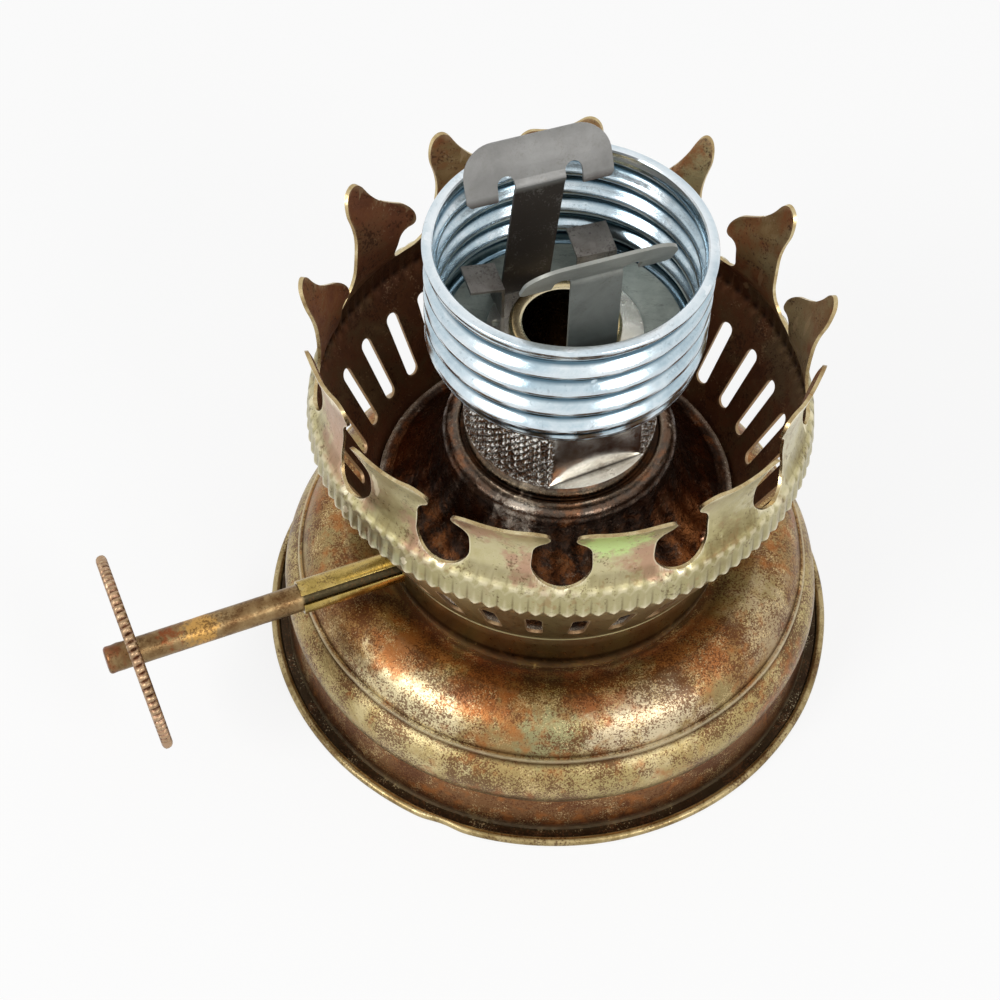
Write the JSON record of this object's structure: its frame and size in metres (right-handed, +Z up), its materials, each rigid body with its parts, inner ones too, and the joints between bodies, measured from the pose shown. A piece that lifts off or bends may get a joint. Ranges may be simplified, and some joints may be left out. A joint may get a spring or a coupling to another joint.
{
  "type": "lamp burner with lamp holder",
  "caption": "Domed brass lamp burner with a pronged chimney gallery and a wick knob, fitted with a knurled lamp holder and spring clips.",
  "frame": {"origin": "centre of the burner's foot, on the plane that it rests on and on the axis of its screw collar", "axes": "+Z up along the burner's axis, -Y towards the front, the wick knob stands out to -X and a little to the front"},
  "size_m": [0.0828, 0.0664, 0.0678],
  "materials": {
    "burner_brass": "worn and speckled with rust",
    "gallery_brass": "pale satin outside, rust brown inside",
    "cone_brass": "dark brown, glossy",
    "guide_brass": "worn, golden",
    "spindle_steel": "bronze brown with orange rust",
    "knob_brass": "mottled with rust",
    "nipple_brass": "turned",
    "coupler_nickel": "bright nickel plating, knurled",
    "shell_zinc": "bright zinc plating with a blue tint",
    "disc_zinc": "dull zinc plating",
    "clip_nickel": "bright nickel plating",
    "leaf_steel": "satin spring steel",
    "hidden_brass": "plain pressed brass"
  },
  "bodies": {
    "burner": {"base_pan": "burner_brass", "dome_cover": "burner_brass", "screw_collar": "hidden_brass", "draught_plate": "hidden_brass", "wick_housing": "hidden_brass", "gallery": "gallery_brass", "air_cone": "cone_brass", "spindle_guide": "guide_brass", "nipple_washer": "disc_zinc", "nipple_nut": "coupler_nickel", "hollow_nipple": "nipple_brass", "knurled_coupler": "coupler_nickel", "thread_shell": "shell_zinc", "shell_disc": "disc_zinc", "clip_plate": "clip_nickel"},
    "spindle": {"wick_spindle": "spindle_steel", "wick_knob": "knob_brass", "feed_wheels": "hidden_brass"},
    "clip_back": {"clip_leaf_back": "leaf_steel"},
    "clip_front": {"clip_leaf_front": "leaf_steel"}
  },
  "joints": [
    {"name": "spindle_turn", "type": "hinge", "parent": "burner", "child": "spindle", "pos_m": [0.00057, -0.00128, 0.0192], "axis": [-0.9143, -0.4051, 0], "continuous": true},
    {"name": "clip_back_give", "type": "hinge", "parent": "burner", "child": "clip_back", "pos_m": [-0.00203, 0.00625, 0.04885], "axis": [-0.9511, -0.309, 0], "range_deg": [-3, 6], "stiffness_Nm_per_rad": 0.1},
    {"name": "clip_front_give", "type": "hinge", "parent": "burner", "child": "clip_front", "pos_m": [0.00203, -0.00625, 0.04885], "axis": [0.9511, 0.309, 0], "range_deg": [-3, 6], "stiffness_Nm_per_rad": 0.1}
  ]
}
